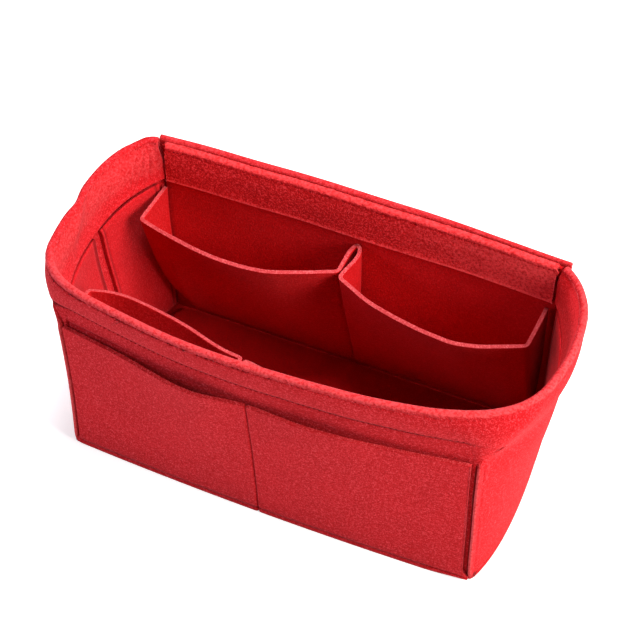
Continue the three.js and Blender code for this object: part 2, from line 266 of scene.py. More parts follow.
def soften_cut_edges(bm):
    across = [e for e in bm.edges
              if len(e.link_faces) == 2 and all(f.material_index == EDGE for f in e.link_faces)]
    halved = bmesh.ops.subdivide_edges(bm, edges=across, cuts=1)["geom_inner"]
    bm.normal_update()
    sunk = [(v, v.co - v.normal * EDGE_SINK * MM) for v in halved if isinstance(v, bmesh.types.BMVert)]
    for v, lower in sunk:
        v.co = lower
    bm.normal_update()
    shoulders = [e for e in bm.edges if len(e.link_faces) == 2 and e.calc_face_angle() > SHARP_ANGLE]
    bmesh.ops.bevel(bm, geom=shoulders, offset=EDGE_BEVEL * MM, affect="EDGES", segments=2, profile=0.5,
                    material=-1)
    for polygon in bm.faces:
        polygon.smooth = True


def felt_sheet(name, net, press_and_painted_light=0.0, drop=False, loft=1.0, nap_and_shade=1.0, inside_shade=False, face=red_felt, edge=cut_felt):
    rows, columns = net.shape[:2]
    press_and_painted_light, drop, loft, nap_and_shade, inside_shade = (
        np.broadcast_to(layer, (rows, columns)) for layer in (press_and_painted_light, drop, loft, nap_and_shade, inside_shade))
    bm = bmesh.new()
    bmesh.ops.create_grid(bm, x_segments=columns - 1, y_segments=rows - 1, size=1.0)
    press_and_painted_light_layer = bm.verts.layers.float.new("press_and_painted_light")
    nap_and_shade_layer = bm.verts.layers.float.new("nap_and_shade")
    weights = bm.verts.layers.deform.verify()
    settled = settle(net) * MM
    dropped, shaded = [], set()
    for v in bm.verts:
        column = round((v.co.x + 1) / 2 * (columns - 1))
        row = round((v.co.y + 1) / 2 * (rows - 1))
        v.co = settled[row, column]
        v[press_and_painted_light_layer] = float(press_and_painted_light[row, column])
        v[nap_and_shade_layer] = float(nap_and_shade[row, column])
        v[weights][0] = float(loft[row, column])
        if drop[row, column]:
            dropped.append(v)
        if inside_shade[row, column]:
            shaded.add(v)
    for polygon in bm.faces:
        polygon.material_index = INSIDE_SHADE_SLOT if shaded.issuperset(polygon.verts) else FACE
    if dropped:
        bmesh.ops.delete(bm, geom=dropped, context="VERTS")
    bmesh.ops.recalc_face_normals(bm, faces=bm.faces)
    mesh = bpy.data.meshes.new(name)
    bm.to_mesh(mesh)
    for material in (face, edge, shaded_inside_felt):
        mesh.materials.append(material)
    sheet = bpy.data.objects.new(name, mesh)
    sheet.vertex_groups.new(name="loft")
    bpy.context.collection.objects.link(sheet)
    solid = sheet.modifiers.new("thickness", "SOLIDIFY")
    solid.thickness = (FELT - THINNED) * MM
    solid.offset = 0
    solid.material_offset_rim = EDGE
    solid.vertex_group = "loft"
    thick = bpy.data.meshes.new_from_object(sheet.evaluated_get(bpy.context.evaluated_depsgraph_get()))
    bm.clear()
    bm.from_mesh(thick)
    soften_cut_edges(bm)
    sheet.modifiers.clear()
    sheet.vertex_groups.clear()
    bm.to_mesh(mesh)
    bm.free()
    bpy.data.meshes.remove(thick)
    print(name, len(mesh.polygons), "faces")
    return sheet


print("felt is", FELT, "mm thick")

# %% [markdown]
# The wall that wraps the sides and the front is described by its outline at each height: two sides, two
# corners and the front, each a curve of three control points. A table says where the controls stand at five
# levels, and a curve through those values, which never overshoots them, gives every height between. The
# wall flares upwards. Up to the top of the pinch the corners are tight, above it they open into wide rounds.
# Soft felt never stands the same on both sides, so each side has its own row: here the right rim curls in
# above a fuller belly.

# %% The wall's stance
HEIGHT = 160.0
PINCH_TOP = 117.0
LEVELS = np.array([0.0, 60.0, PINCH_TOP, 138.0, HEIGHT])
STANCE = {
    -1: {
        "flank_x": (164, 176.6, 189.2, 189.4, 190.0), "flank_y": (-27, -14.4, -1.7, 31.5, 71.5),
        "corner_x": (149.0, 147.5, 149.6, 161.0, 165.4), "corner_y": (-73.8, -74.2, -74.5, -72.7, -75.5),
        "round_flank": (5, 5, 5.5, 14.3, 34.6), "round_front": (5, 5, 5.5, 21.6, 45.0)},
    1: {
        "flank_x": (164, 180.2, 196.0, 197.4, 190.0), "flank_y": (-27, -15.2, -3.4, 20.0, 54.0),
        "corner_x": (150.4, 150.8, 152.0, 163.0, 174.0), "corner_y": (-73.5, -73.4, -72.9, -70.5, -68.3),
        "round_flank": (5, 5, 5.5, 17.0, 44.9), "round_front": (5, 5, 5.5, 22.7, 65.0)},
}
FRONT_Y = (-80.8, -91.0, -101.2, -105.3, -106.4)
SEAM = 0.3
SIDE_INSET = 1.1


def through(values, z):
    values = np.asarray(values, float)
    step = np.diff(LEVELS)
    slope = np.diff(values) / step
    before, after = slope[:-1], slope[1:]
    turns = before * after <= 0
    weighed = ((2 * step[1:] + step[:-1]) / np.where(turns, 1, before)
               + (step[1:] + 2 * step[:-1]) / np.where(turns, 1, after))
    eased = np.where(turns, 0, 3 * (step[:-1] + step[1:]) / weighed)
    lean = np.concatenate([slope[:1], eased, slope[-1:]])
    i = np.clip(np.searchsorted(LEVELS, z, side="right") - 1, 0, len(step) - 1)
    t = (z - LEVELS[i]) / step[i]
    return ((2 * t ** 3 - 3 * t ** 2 + 1) * values[i] + (t ** 3 - 2 * t ** 2 + t) * step[i] * lean[i]
            + (3 * t ** 2 - 2 * t ** 3) * values[i + 1] + (t ** 3 - t ** 2) * step[i] * lean[i + 1])


def back_half(z):
    return 149 + 3.5 * z / HEIGHT


def back_face(x, z):
    return 73 + z / HEIGHT * (2 + 4 * (1 - (x / back_half(z)) ** 2))


def pair(x, y, like):
    return np.stack([np.broadcast_to(x, like.shape), np.broadcast_to(y, like.shape)], axis=-1)


def step_towards(start, goal, distance):
    way = goal - start
    return start + way / np.linalg.norm(way, axis=-1, keepdims=True) * distance[..., None]


def wall_controls(z, side):
    stance = {name: through(values, z) for name, values in STANCE[side].items()}
    back = pair(back_half(z) - SIDE_INSET, back_face(back_half(z), z) + SEAM, z)
    flank = pair(stance["flank_x"], stance["flank_y"], z)
    corner = pair(stance["corner_x"], stance["corner_y"], z)
    front = pair(0, through(FRONT_Y, z), z)
    flank_end = step_towards(corner, flank, stance["round_flank"])
    front_end = step_towards(corner, front, stance["round_front"])
    mirror = np.array([side, 1.0])
    return [p * mirror for p in (back, flank, flank_end, corner, front_end, front)]


for side, word in ((-1, "left"), (1, "right")):
    print(word, "front corner of the rim", wall_controls(np.array([HEIGHT]), side)[3][0].round(1), "mm")

# %% [markdown]
# Five curves make one outline. A number s walks along it: 0 to 1 is the left side from back to front, then
# come the left corner, the front, the right corner and the right side. A depth moves a point inwards, so
# the same function places every sheet that follows the wall. The left rim has a shallow dent, where it was
# once folded. The columns of the wall's grid are spaced evenly along the rim, three to a stitch.

# %% The wall's outline
DENT_DEPTH, DENT_AT, DENT_WIDTH = 2.4, 0.81, 0.06
RIM_LINE = 155.5
STITCH = 3.6
PER_STITCH = 3


def smooth(low, high, value):
    share = np.clip((value - low) / (high - low), 0, 1)
    return share * share * (3 - 2 * share)


def bell(value, middle, width):
    return np.exp(-(((value - middle) / width) ** 2))


def wall(s, z, depth):
    s, z, depth = np.broadcast_arrays(np.asarray(s, float), np.asarray(z, float), np.asarray(depth, float))
    left, right = wall_controls(z, -1), wall_controls(z, 1)
    curves = [
        (left[0], left[1], left[2]),
        (left[2], left[3], left[4]),
        (left[4], left[5], right[4]),
        (right[4], right[3], right[2]),
        (right[2], right[1], right[0]),
    ]
    stretch = np.clip(s.astype(int), 0, 4)
    t = (s - stretch)[..., None]
    a, b, c = (np.choose(stretch[..., None], [curve[k] for curve in curves]) for k in range(3))
    point = a * (1 - t) ** 2 + b * 2 * t * (1 - t) + c * t * t
    along = (b - a) * (1 - t) + (c - b) * t
    along /= np.linalg.norm(along, axis=-1, keepdims=True)
    inward = np.stack([-along[..., 1], along[..., 0]], axis=-1)
    dent = DENT_DEPTH * bell(s, DENT_AT, DENT_WIDTH) * smooth(122, 158, z)
    point = point + inward * (depth + dent)[..., None]
    return np.concatenate([point, z[..., None]], axis=-1), inward


def lengths(points):
    steps = np.linalg.norm(np.diff(points, axis=0), axis=1)
    return np.concatenate([[0], np.cumsum(steps)])


fine_s = np.linspace(0, 5, 2001)
rim_length = lengths(wall(fine_s, RIM_LINE, 0.0)[0])
stitch_count = round(rim_length[-1] / STITCH)
wall_s = np.interp(np.linspace(0, rim_length[-1], stitch_count * PER_STITCH + 1), rim_length, fine_s)
print("rim length", round(float(rim_length[-1])), "mm,", stitch_count, "stitches")

# %% [markdown]
# Both front corners are pinched: the felt is folded forwards, in line with the side, and a row of stitches
# presses the two layers together up to three quarters of the height. From above, the wall runs along the
# side to the crest of the fold, turns back and goes on along the front. That path is drawn with straight
# legs and a round crest, then smoothed by averaging along its length, which rounds the bends as thick felt
# would. In the fold the felt is pressed to little more than half its thickness. Its crest is painted pale, as
# highlight, and the slot behind it is painted dark, as shade. The two folds differ: a table says which stretch
# of the outline each one is on, how much of it is left at the foot, where it is full grown, how softly it
# opens above its stitches, and how firmly the foot holds it.

# %% Pinched corners
PINCH_REACH = 2.7
PINCH_FOLD = 0.62
PINCH_LAYER = 0.95
HALF_WALL = 1.45
PINCH = {
    -1: {"stretch": 1.0, "foot": 0.6, "grown": 9, "release": 20, "held": 1.0},
    1: {"stretch": 3.0, "foot": 0.1, "grown": 15, "release": 5, "held": 0.3},
}


def unit(v):
    return v / np.linalg.norm(v)


def evenly(path, count):
    walked = lengths(path)
    even = np.linspace(0, walked[-1], count)
    return even, np.stack([np.interp(even, walked, path[:, k]) for k in (0, 1)], axis=1)


def soften(line, times):
    for _ in range(times):
        line[1:-1] = (line[:-2] + 2 * line[1:-1] + line[2:]) / 4


def pinched_corner(t, z, side):
    near, corner, far = (p[0] for p in wall_controls(np.array([float(z)]), side)[2:5])
    along_side, along_front = unit(corner - near), unit(far - corner)
    side_in = np.array([-along_side[1], along_side[0]]) * -side
    front_in = np.array([-along_front[1], along_front[0]]) * -side
    foot, grown = PINCH[side]["foot"], PINCH[side]["grown"]
    reach = PINCH_REACH * foot + PINCH_REACH * (1 - foot) * smooth(0, grown, z)
    tip = corner + unit(np.array([0.12 * side, -1.0])) * reach
    bend = np.linspace(0, math.pi, 13)[:, None]
    crest = (tip + side_in * (PINCH_LAYER + PINCH_FOLD * (1 - np.cos(bend)))
             + along_side * PINCH_FOLD * np.sin(bend))
    inner = PINCH_LAYER + 2 * PINCH_FOLD
    path = np.concatenate([
        [near + side_in * HALF_WALL, corner - along_side * 2.0 + side_in * 1.1],
        crest,
        [corner + along_front * inner + front_in * 0.6,
         corner + along_front * (inner + 1.2) + front_in * HALF_WALL,
         far + front_in * HALF_WALL]])
    walked = lengths(path)
    even, dense = evenly(path, 141)
    soften(dense, 14)
    share = np.asarray(t) * walked[-1]
    crest_at, slot_from, slot_to = (walked[2] + walked[14]) / 2, walked[14] + 0.5, walked[-2]
    slot = smooth(slot_from, slot_from + 1.0, share) * (1 - smooth(slot_to, slot_to + 1.0, share))
    # Painted shade in the slot behind the crest, and a painted highlight along the crest.
    painted_slot_shade_and_crest_light = 0.9 * slot - 0.7 * bell(share, crest_at, 1.1)
    legs = (smooth(walked[1] - 1.5, walked[1] + 1.0, share)
            * (1 - smooth(walked[-3] - 1.0, walked[-3] + 1.5, share)))
    return np.stack([np.interp(share, even, dense[:, k]) for k in (0, 1)], axis=-1), legs, painted_slot_shade_and_crest_light


def pinch_outer_row(points, loft, press_and_painted_light, s, z):
    for side, pinch in PINCH.items():
        low, held = pinch["stretch"], pinch["held"]
        hold = 1 - smooth(PINCH_TOP - 5, PINCH_TOP + pinch["release"], z)
        hold *= held + (1 - held) * smooth(0, 7, z)
        here = (s > low) & (s < low + 1)
        t = s[here] - low if side < 0 else 1 - (s[here] - low)
        pinched, legs, painted_slot_shade_and_crest_light = pinched_corner(t, z, side)
        points[here, :2] = points[here, :2] * (1 - hold) + pinched * hold
        loft[here] = 1 - 0.45 * hold * legs
        # The slot's painted shade and the crest's painted highlight go into the felt's tone.
        press_and_painted_light[here] += hold * painted_slot_shade_and_crest_light


print("crest stands out", PINCH_REACH + PINCH_FOLD, "mm")

# %% [markdown]
# Every rim is a hem: the felt is folded in over it and sewn. A sheet with a hem is a grid whose rows climb
# inside, roll over the rim in half a circle and go down the outside. Stitches press a shallow groove with a
# deeper dimple at each needle hole. The dimples are real geometry, because bump would not show on the
# outline. Seeded random numbers make the holes uneven, let a row wander and leave the roll a little tufted.

# %% Hems and grooves
TOP_STITCH = 155.4
FLOOR_STITCH = 4.2
ROLL_FROM = 157
ROLL_RISE = 1.55
MOST_STITCHES = 700

roll_rows = [("roll", angle) for angle in np.linspace(0, math.pi, 9)[1:-1]]
most = MOST_STITCHES * PER_STITCH
coarse = np.arange(0, most + 1, 5)
chance = np.random.RandomState(SEED)
unevenness = np.repeat(chance.uniform(0.1, 1.6, MOST_STITCHES), PER_STITCH)
wander = np.interp(np.arange(most), coarse, chance.uniform(-0.3, 0.3, len(coarse)))
tufted = np.convolve(chance.normal(0, 1, most), [0.25, 0.5, 0.25], "same")


def groove(z, line, width, columns, depth=0.34, hole=0.95):
    holes = (np.arange(columns) % PER_STITCH == 0) * unevenness[:columns]
    return bell(z, line, width) * (depth + hole * holes)


def roll_height(angle):
    return ROLL_FROM + ROLL_RISE * math.sin(angle)


def roll_depth(angle, columns):
    return FELT + FELT / 2 * math.cos(angle) - 0.25 * math.cos(angle) * tufted[:columns]


print("a roll rises to", roll_height(math.pi / 2), "mm in", len(roll_rows), "rows")

# %% [markdown]
# On the wrap wall two rows of stitches hold the hem, one just below the rim and one just above the hem's
# lower edge, and the felt puffs up between them. The thread is drawn tight at the left of the front, and
# the grooves fade towards the sides. Below the hem the front sinks back a little, and just behind the front
# pocket's lip at the left a dark line is painted, as shade. Inside, the hem slopes and has small ribs at its
# left end, and along the sides it is painted pale, as light falling on it.

# %% Faces of the wrap wall
TUFTS_AND_HIGHLIGHT = 0.3
HEM_LIFT = 4.6
HEM_DEPTH = 4.2
LIP_SHADE = 120.3


def hem_foot(s):
    return np.interp(s, [0, 0.22, 0.5, 1, 2, 3, 4, 4.5, 4.78, 5],
                     [128, 128, 125, 124, 131, 131, 124, 125, 128, 128])


hem_stitch = hem_foot(wall_s) + HEM_LIFT
columns = len(wall_s)
walked = np.interp(wall_s, fine_s, rim_length)
ribs = np.sin(walked * 1.2 + 0.4 * np.sin(walked * 0.7)) * bell(walked, 14, 9)
fade = 1 - 0.75 * smooth(2.6, 3.3, wall_s) - 0.25 * (1 - smooth(0.9, 1.4, wall_s))
tight = 1 + 0.8 * smooth(1.2, 1.8, wall_s) * (1 - smooth(2.25, 2.7, wall_s))


def hem_grooves(z, top_share, hem_share):
    top = groove(z, TOP_STITCH + wander[:len(wall_s)], 1.0, len(wall_s)) * top_share
    hem = groove(z, hem_stitch, 1.8, len(wall_s), 1.25, 0.35) * hem_share
    puff = 0.55 * smooth(135, 146, z) * (1 - smooth(147, 155, z))
    return top, hem, puff


def inner_face(z):
    top, hem, puff = hem_grooves(z, 0.2, 0.15)
    slope = 1.3 * smooth(158, 150, z)
    depth = HEM_DEPTH - top - hem + puff + slope + ribs * smooth(128, 138, z) * (1 - smooth(146, 154, z))
    # Along the sides the inside of the hem is painted paler, as light falling on it.
    left = 0.3 * (1 - smooth(0.9, 1.6, wall_s)) * smooth(134, 140, z)
    right = 1.1 * smooth(3.4, 3.9, wall_s) * (1 - smooth(4.7, 4.95, wall_s)) * smooth(138, 157, z)
    return depth, top + hem, left + right


def outer_face(z):
    top, hem, puff = hem_grooves(z, fade * tight, fade)
    foot = groove(z, FLOOR_STITCH, 1.2, len(wall_s), 0.45, 0.3)
    below = hem_stitch - z
    recess = (1.7 * fade * smooth(1.5, 2.1, wall_s)
              * smooth(-0.5, 2.0, below) * (1 - smooth(14, 26, below)))
    # Just above the front pocket's lip at the left the wall sinks a little and is painted dark, as shade.
    lip_shade_line = bell(z, LIP_SHADE, 1.5) * smooth(1.98, 2.02, wall_s) * (1 - smooth(2.1, 2.26, wall_s))
    depth = FELT / 2 + top + hem - puff + foot + recess + 0.7 * lip_shade_line
    return depth, top + hem + (foot + 0.55 * lip_shade_line), 0


print("hem stitches run at", hem_stitch.min().round(1), "to", hem_stitch.max().round(1), "mm")

# %% [markdown]
# The wrap wall is one sheet: it starts at the lower edge of the hem inside, climbs to the rim, rolls over it
# and goes down the outside to the floor. Its rows lie close together at the stitches and the pinch, and
# further apart on plain felt. At its left end the back seam draws the rim up a little.

# %% Wrap wall
HEM_TOP = 152.6
inner_rows = [("hem", f) for f in (0, 0.06, 0.11, 0.16, 0.21, 0.3, 0.42, 0.55, 0.68, 0.78)]
inner_rows += [("in", z) for z in (HEM_TOP, 153.8, 154.6, TOP_STITCH, 156.2, ROLL_FROM)]
outer_rows = [("out", z) for z in (
    ROLL_FROM, 156.2, TOP_STITCH, 154.6, 153.8, 152.6, 150.5, 148, 145, 142, 139.5, 137.6, 136.6, 135.6,
    134.6, 133.6, 131.5, 129.6, 128.6, 127.6, 125.5, 123.5, 122.2, 121.2, LIP_SHADE, 119.3, 118, 117, 115.5,
    113, 110, 106, 100, 92, 83, 73, 62, 51, 40, 30, 21, 14, 9, 6.4, 5, 4, 3, 1.6, 0)]
wall_rows = inner_rows + roll_rows + outer_rows
net = np.empty((len(wall_rows), columns, 3))
press_and_painted_light = np.zeros((len(wall_rows), columns))
loft = np.ones((len(wall_rows), columns))
drawn_up = 2.4 * (1 - smooth(0.03, 0.3, wall_s))
for row, (kind, value) in enumerate(wall_rows):
    if kind == "roll":
        z = roll_height(value) + 0.22 * tufted[:columns]
        depth = roll_depth(value, columns)
        # The roll is painted paler, partly for its tufts and partly as highlight, and less on the inner half
        # at the right, which lies in shade.
        press_and_painted_light[row] = -1.55 * TUFTS_AND_HIGHLIGHT * (0.3 + 0.7 * smooth(0.9, 1.6, wall_s))
        press_and_painted_light[row] *= 1 - 0.8 * smooth(3.3, 3.8, wall_s) * (1 - smooth(0.6, 1.5, value))
    else:
        z = np.full(columns, float(value))
        if kind == "hem":
            z = hem_foot(wall_s) + (HEM_TOP - hem_foot(wall_s)) * value
        depth, grooves_and_painted_shade, painted_light_on_hem = outer_face(z) if kind == "out" else inner_face(z)
        # Near the rim the felt is painted paler, partly for its tufts and partly as highlight.
        tufts_and_painted_light = np.maximum(TUFTS_AND_HIGHLIGHT * smooth(TOP_STITCH + 0.4, 158, z), painted_light_on_hem)
        press_and_painted_light[row] = np.clip(grooves_and_painted_shade, 0, 1) - tufts_and_painted_light
    points = wall(wall_s, z + drawn_up * smooth(136, ROLL_FROM, z), depth)[0]
    if kind == "out":
        pinch_outer_row(points, loft[row], press_and_painted_light[row], wall_s, value)
    net[row] = points
# On the right the inside of the hem lies in shade: its speckle is lowered and it takes the inside felt, as
# painted shade.
nap_and_shade = np.ones(press_and_painted_light.shape)
nap_and_shade[:len(inner_rows)] = 0.8 - 0.25 * smooth(3.4, 4.2, wall_s)
nap_and_shade[len(inner_rows):len(inner_rows) + len(roll_rows)] = 1.1
inside_shade = np.zeros(press_and_painted_light.shape, bool)
inside_shade[:len(inner_rows)] = wall_s > 3.5
wrap_wall = felt_sheet("wrap_wall_felt", net, press_and_painted_light, loft=loft, nap_and_shade=nap_and_shade, edge=red_felt, inside_shade=inside_shade)
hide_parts("wrap_wall")
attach(wrap_wall, "root")

# %% [markdown]
# The back is a flatter sheet with the same folded hem. Its plain part reaches to the side walls, and its hem
# stops a little earlier, because the side hems are thicker there. The full grid is folded first, and then
# the points of the hem that lie too far out are deleted. The hem has its own brighter felt, painted light for
# a hem that faces the lamps, and it is painted paler still towards the right and along its lower edge, as
# highlight. The plain part below it lies in shade and takes the inside felt with little speckle, as painted
# shade.

# %% Back wall
HEM_HALF = 145.2
BACK_HEM = 127.0
back_share = np.unique(np.concatenate([np.linspace(-1, 1, 250), np.array([-HEM_HALF, HEM_HALF]) / 147.6]))
back_inner = [("in", z) for z in (
    BACK_HEM, 127.9, 128.9, 130.2, 132, 135, 139, 143, 147, 150.5, 152.6, 153.8, 154.6, TOP_STITCH, 156.2,
    ROLL_FROM)]
back_outer = [("out", z) for z in (
    ROLL_FROM, 154, 150, 144, 136, 126, 114, 100, 85, 70, 55, 40, 26, 15, 8, 5, 4, 3, 1.5, 0)]
back_rows = back_inner + roll_rows + back_outer
columns = len(back_share)
net = np.empty((len(back_rows), columns, 3))
press_and_painted_light = np.zeros((len(back_rows), columns))
drop = np.zeros((len(back_rows), columns), bool)
for row, (kind, value) in enumerate(back_rows):
    z = np.full(columns, roll_height(value) if kind == "roll" else float(value))
    x = back_share * (back_half(z) - 4.9)
    if kind == "roll":
        depth = roll_depth(value, columns)
        press_and_painted_light[row] = -1.6 * TUFTS_AND_HIGHLIGHT
    elif kind == "in":
        top = groove(z, TOP_STITCH + wander[:columns], 0.95, columns) * 0.55
        # Along its lower edge the hem puffs up and is painted paler, as highlight, and towards the right it is
        # painted paler too.
        edge = smooth(BACK_HEM + 2.2, BACK_HEM, z)
        puff = 0.6 * smooth(132, 142, z) * (1 - smooth(146, 154, z)) + 0.5 * edge
        depth = 4.5 - top + puff
        painted_light_on_hem = 0.12 + 0.5 * smooth(0, 0.9, back_share)
        tufts_and_painted_light = np.maximum(TUFTS_AND_HIGHLIGHT * smooth(TOP_STITCH + 0.4, 158, z), painted_light_on_hem) + 0.7 * edge
        press_and_painted_light[row] = np.clip(top, 0, 1) - tufts_and_painted_light
    else:
        depth = FELT / 2
    net[row] = np.stack([x, back_face(x, z) - depth, z], axis=-1)
    drop[row] = (kind != "out") & (np.abs(x) > HEM_HALF + 0.5)
# The plain part below the hem lies in shade: less speckle and the inside felt, as painted shade.
nap_and_shade = np.ones(press_and_painted_light.shape)
nap_and_shade[len(back_inner):] = 0.7
nap_and_shade[len(back_inner) + len(roll_rows):] = 0.25
inside_shade = np.zeros(press_and_painted_light.shape, bool)
inside_shade[len(back_inner) + len(roll_rows):] = True
back_wall = felt_sheet("back_wall_felt", net, press_and_painted_light, drop, nap_and_shade=nap_and_shade, edge=red_felt, face=lit_hem_felt, inside_shade=inside_shade)
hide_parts("back_wall")
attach(back_wall, "root")

# %% [markdown]
# The base is a plain panel sewn inside the walls. A rectangle would leave gaps, so its grid is stretched
# from side to side at each depth and bowed at the front, and its edge follows the walls.

# %% Base panel
BASE_EDGE = FELT - 0.6
base_rows, base_columns = 40, 90
left_edge = wall(np.linspace(0, 1.5, 200), 0.0, BASE_EDGE)[0]
right_edge = wall(np.linspace(5, 3.5, 200), 0.0, BASE_EDGE)[0]
front_edge = wall(np.linspace(1.5, 3.5, 300), 0.0, BASE_EDGE)[0]
foremost = left_edge[:, 1].min()
net = np.empty((base_rows, base_columns, 3))
for row, y in enumerate(np.linspace(foremost, left_edge[0, 1], base_rows)):
    low = np.interp(-y, -left_edge[:, 1], left_edge[:, 0])
    high = np.interp(-y, -right_edge[:, 1], right_edge[:, 0])
    x = np.linspace(low, high, base_columns)
    bow = np.interp(x, front_edge[:, 0], front_edge[:, 1]) - foremost
    share = row / (base_rows - 1)
    y_bowed = y + np.minimum(bow, 0) * (1 - share)
    net[row] = np.stack([x, y_bowed, np.full(base_columns, FELT / 2)], axis=-1)
# The base lies in shade inside: it takes the inside felt with little speckle, as painted shade.
base_panel = felt_sheet("base_panel_felt", net, nap_and_shade=0.3, face=shaded_inside_felt)
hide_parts("base_panel")
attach(base_panel, "root")

# %% [markdown]
# On the base lies a loose stiffener, a felt-covered board with rounded corners. It is stiff, so it is no
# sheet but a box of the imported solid's size, with its upright edges bevelled wide and the others a little.

# %% Stiffener
CORNER_ROUND, RIM_ROUND = 12, 1.1


def finished(name, bm, material):
    for polygon in bm.faces:
        polygon.smooth = True
    mesh = bpy.data.meshes.new(name)
    bm.to_mesh(mesh)
    bm.free()
    mesh.materials.append(material)
    made = bpy.data.objects.new(name, mesh)
    bpy.context.collection.objects.link(made)
    return made


low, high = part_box("base_insert")
bm = bmesh.new()
bmesh.ops.create_cube(bm, size=1.0)
bmesh.ops.scale(bm, vec=high - low, verts=bm.verts)
bmesh.ops.translate(bm, vec=(low + high) / 2, verts=bm.verts)
uprights = [e for e in bm.edges if abs(e.verts[0].co.z - e.verts[1].co.z) > MM]
bmesh.ops.bevel(bm, geom=uprights, offset=CORNER_ROUND * MM, affect="EDGES", segments=8, profile=0.5,
                material=-1)
rims = [e for e in bm.edges if e.calc_face_angle(0) > 1.2]
bmesh.ops.bevel(bm, geom=rims, offset=RIM_ROUND * MM, affect="EDGES", segments=3, profile=0.5, material=-1)
# The stiffener lies in shade inside and takes the inside felt, as painted shade.
base_insert = finished("base_insert_felt", bm, shaded_inside_felt)
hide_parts("base_insert")
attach(base_insert, "root")
print("stiffener", [round(side / MM) for side in high - low], "mm")

# %% [markdown]
# The front carries one wide panel, sewn to the wall at both ends, along the floor and down the middle, so it
# makes two pockets. It follows the wall's own curve at a small distance. Between the seams its top edge
# stands open, most of all on the left of the middle. The seams are grooves where the panel is pressed to
# half its thickness. At both ends a narrow slot is left between the panel and the pinched corner, except at
# the very floor, and at the right the panel's foot stops a little above the floor.

# %% Front outer pocket
FRONT_LIP = 118.5
FRONT_LENGTH = 290
MIDDLE = 0.487
SEWN = FELT / 2 + SEAM
pocket_t = np.unique(np.concatenate([np.linspace(0, 1, 230), MIDDLE + np.linspace(-0.012, 0.012, 17)]))
pocket_z = np.array([
    0, 1.6, 2.8, 3.6, 4.2, 4.8, 5.6, 7, 9, 12, 16, 21, 27, 34, 42, 50, 58, 66, 74, 82, 89, 95, 100, 105, 109,
    112, 114.5, 116.5, 117.8, FRONT_LIP])


def mouth(t, z):
    left = np.clip(t / MIDDLE, 0, 1)
    right = np.clip((1 - t) / (1 - MIDDLE), 0, 1)
    arch = np.where(t < MIDDLE, 5.0 * np.sin(math.pi * left ** 1.9) ** 2,
                    2.4 * np.sin(math.pi * right ** 1.9) ** 2)
    return arch * np.clip(z / FRONT_LIP, 0, 1) ** 2.2


t, z = np.meshgrid(pocket_t, pocket_z)
z = z + 1.7 * smooth(0.9, 1.0, t) * (1 - smooth(0, 30, z))
middle = bell((t - MIDDLE) * FRONT_LENGTH, 0, 0.95)
floor = bell(z, FLOOR_STITCH, 1.0)
close = 0.26 * (1 - smooth(2.5, 9, z))
spread = t - (close + 0.05) * (1 - smooth(0, 0.004, t)) + (close - 0.0035) * smooth(0.996, 1, t)
sunk = 0.8 * middle + 0.6 * floor
net = wall(2 + spread, z, -(SEWN + mouth(t, z)) + sunk)[0]
front_pocket = felt_sheet("front_outer_pocket_felt", net, np.clip(middle + floor * 0.8, 0, 1),
                          loft=1 - 0.5 * np.maximum(middle, floor * 0.8), edge=lip_felt)
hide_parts("front_outer_pocket")
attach(front_pocket, "root")

# %% [markdown]
# The back carries a panel too, as tall as the wall. Its top is folded in like the other hems, so two round
# rims run side by side along the back, with a thin dark gap between them. The fold flattens to the right.

# %% Back outer pocket
share = np.linspace(-1, 1, 150)
panel_inner = [("in", z) for z in (136, 140, 145, 150, 154, ROLL_FROM)]
panel_outer = [("out", z) for z in (
    ROLL_FROM, 154, 150, 145, 140, 134, 128, 122, 114, 104, 92, 78, 64, 48, 34, 22, 14, 8, 5.4, FLOOR_STITCH,
    3, 1.6, 0)]
panel_rows = panel_inner + roll_rows + panel_outer
net = np.empty((len(panel_rows), len(share), 3))
press_and_painted_light = np.zeros(net.shape[:2])
fold = 0.75 - 0.6 * smooth(0.1, 0.7, share)
ends = bell((1 - np.abs(share)) * 150, 3.4, 1.2)
for row, (kind, value) in enumerate(panel_rows):
    z = np.full(len(share), roll_height(value) if kind == "roll" else float(value))
    x = share * back_half(z)
    gap = 0.35 + (0.5 + 0.7 * (1 - share * share)) * (z / HEIGHT) ** 2
    stand = FELT / 2
    if kind == "roll":
        stand = FELT / 2 + FELT / 2 * fold * (1 - math.cos(value))
        press_and_painted_light[row] = -TUFTS_AND_HIGHLIGHT
    elif kind == "out":
        floor = bell(z, FLOOR_STITCH, 0.9)
        stand = FELT / 2 + FELT * fold * smooth(118, 138, z) - 0.6 * ends - 0.5 * floor
        press_and_painted_light[row] = np.clip(ends + floor, 0, 1) * 0.8 - TUFTS_AND_HIGHLIGHT * smooth(155, 157.5, z)
    net[row] = np.stack([x, back_face(x, z) + gap + stand, z], axis=-1)
back_pocket_panel = felt_sheet("back_outer_pocket_felt", net, press_and_painted_light)
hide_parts("back_outer_pocket")
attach(back_pocket_panel, "root")

# %% [markdown]
# Inside, a long strip on the back wall and another on the front wall make four deep pockets. Seen from above
# a strip leaves the wall as a gusset, turns a corner into a bowed face, dips back to the wall in a pleat at
# the middle, and returns the same way. The pleat is pinched at its neck and opens into a drop-shaped loop at
# the wall. Each half is drawn for the top edge, through a few places given as distance from the middle and
# distance from the wall, and rounded by averaging.

# %% Path of a pleated strip
NECK = 1.6


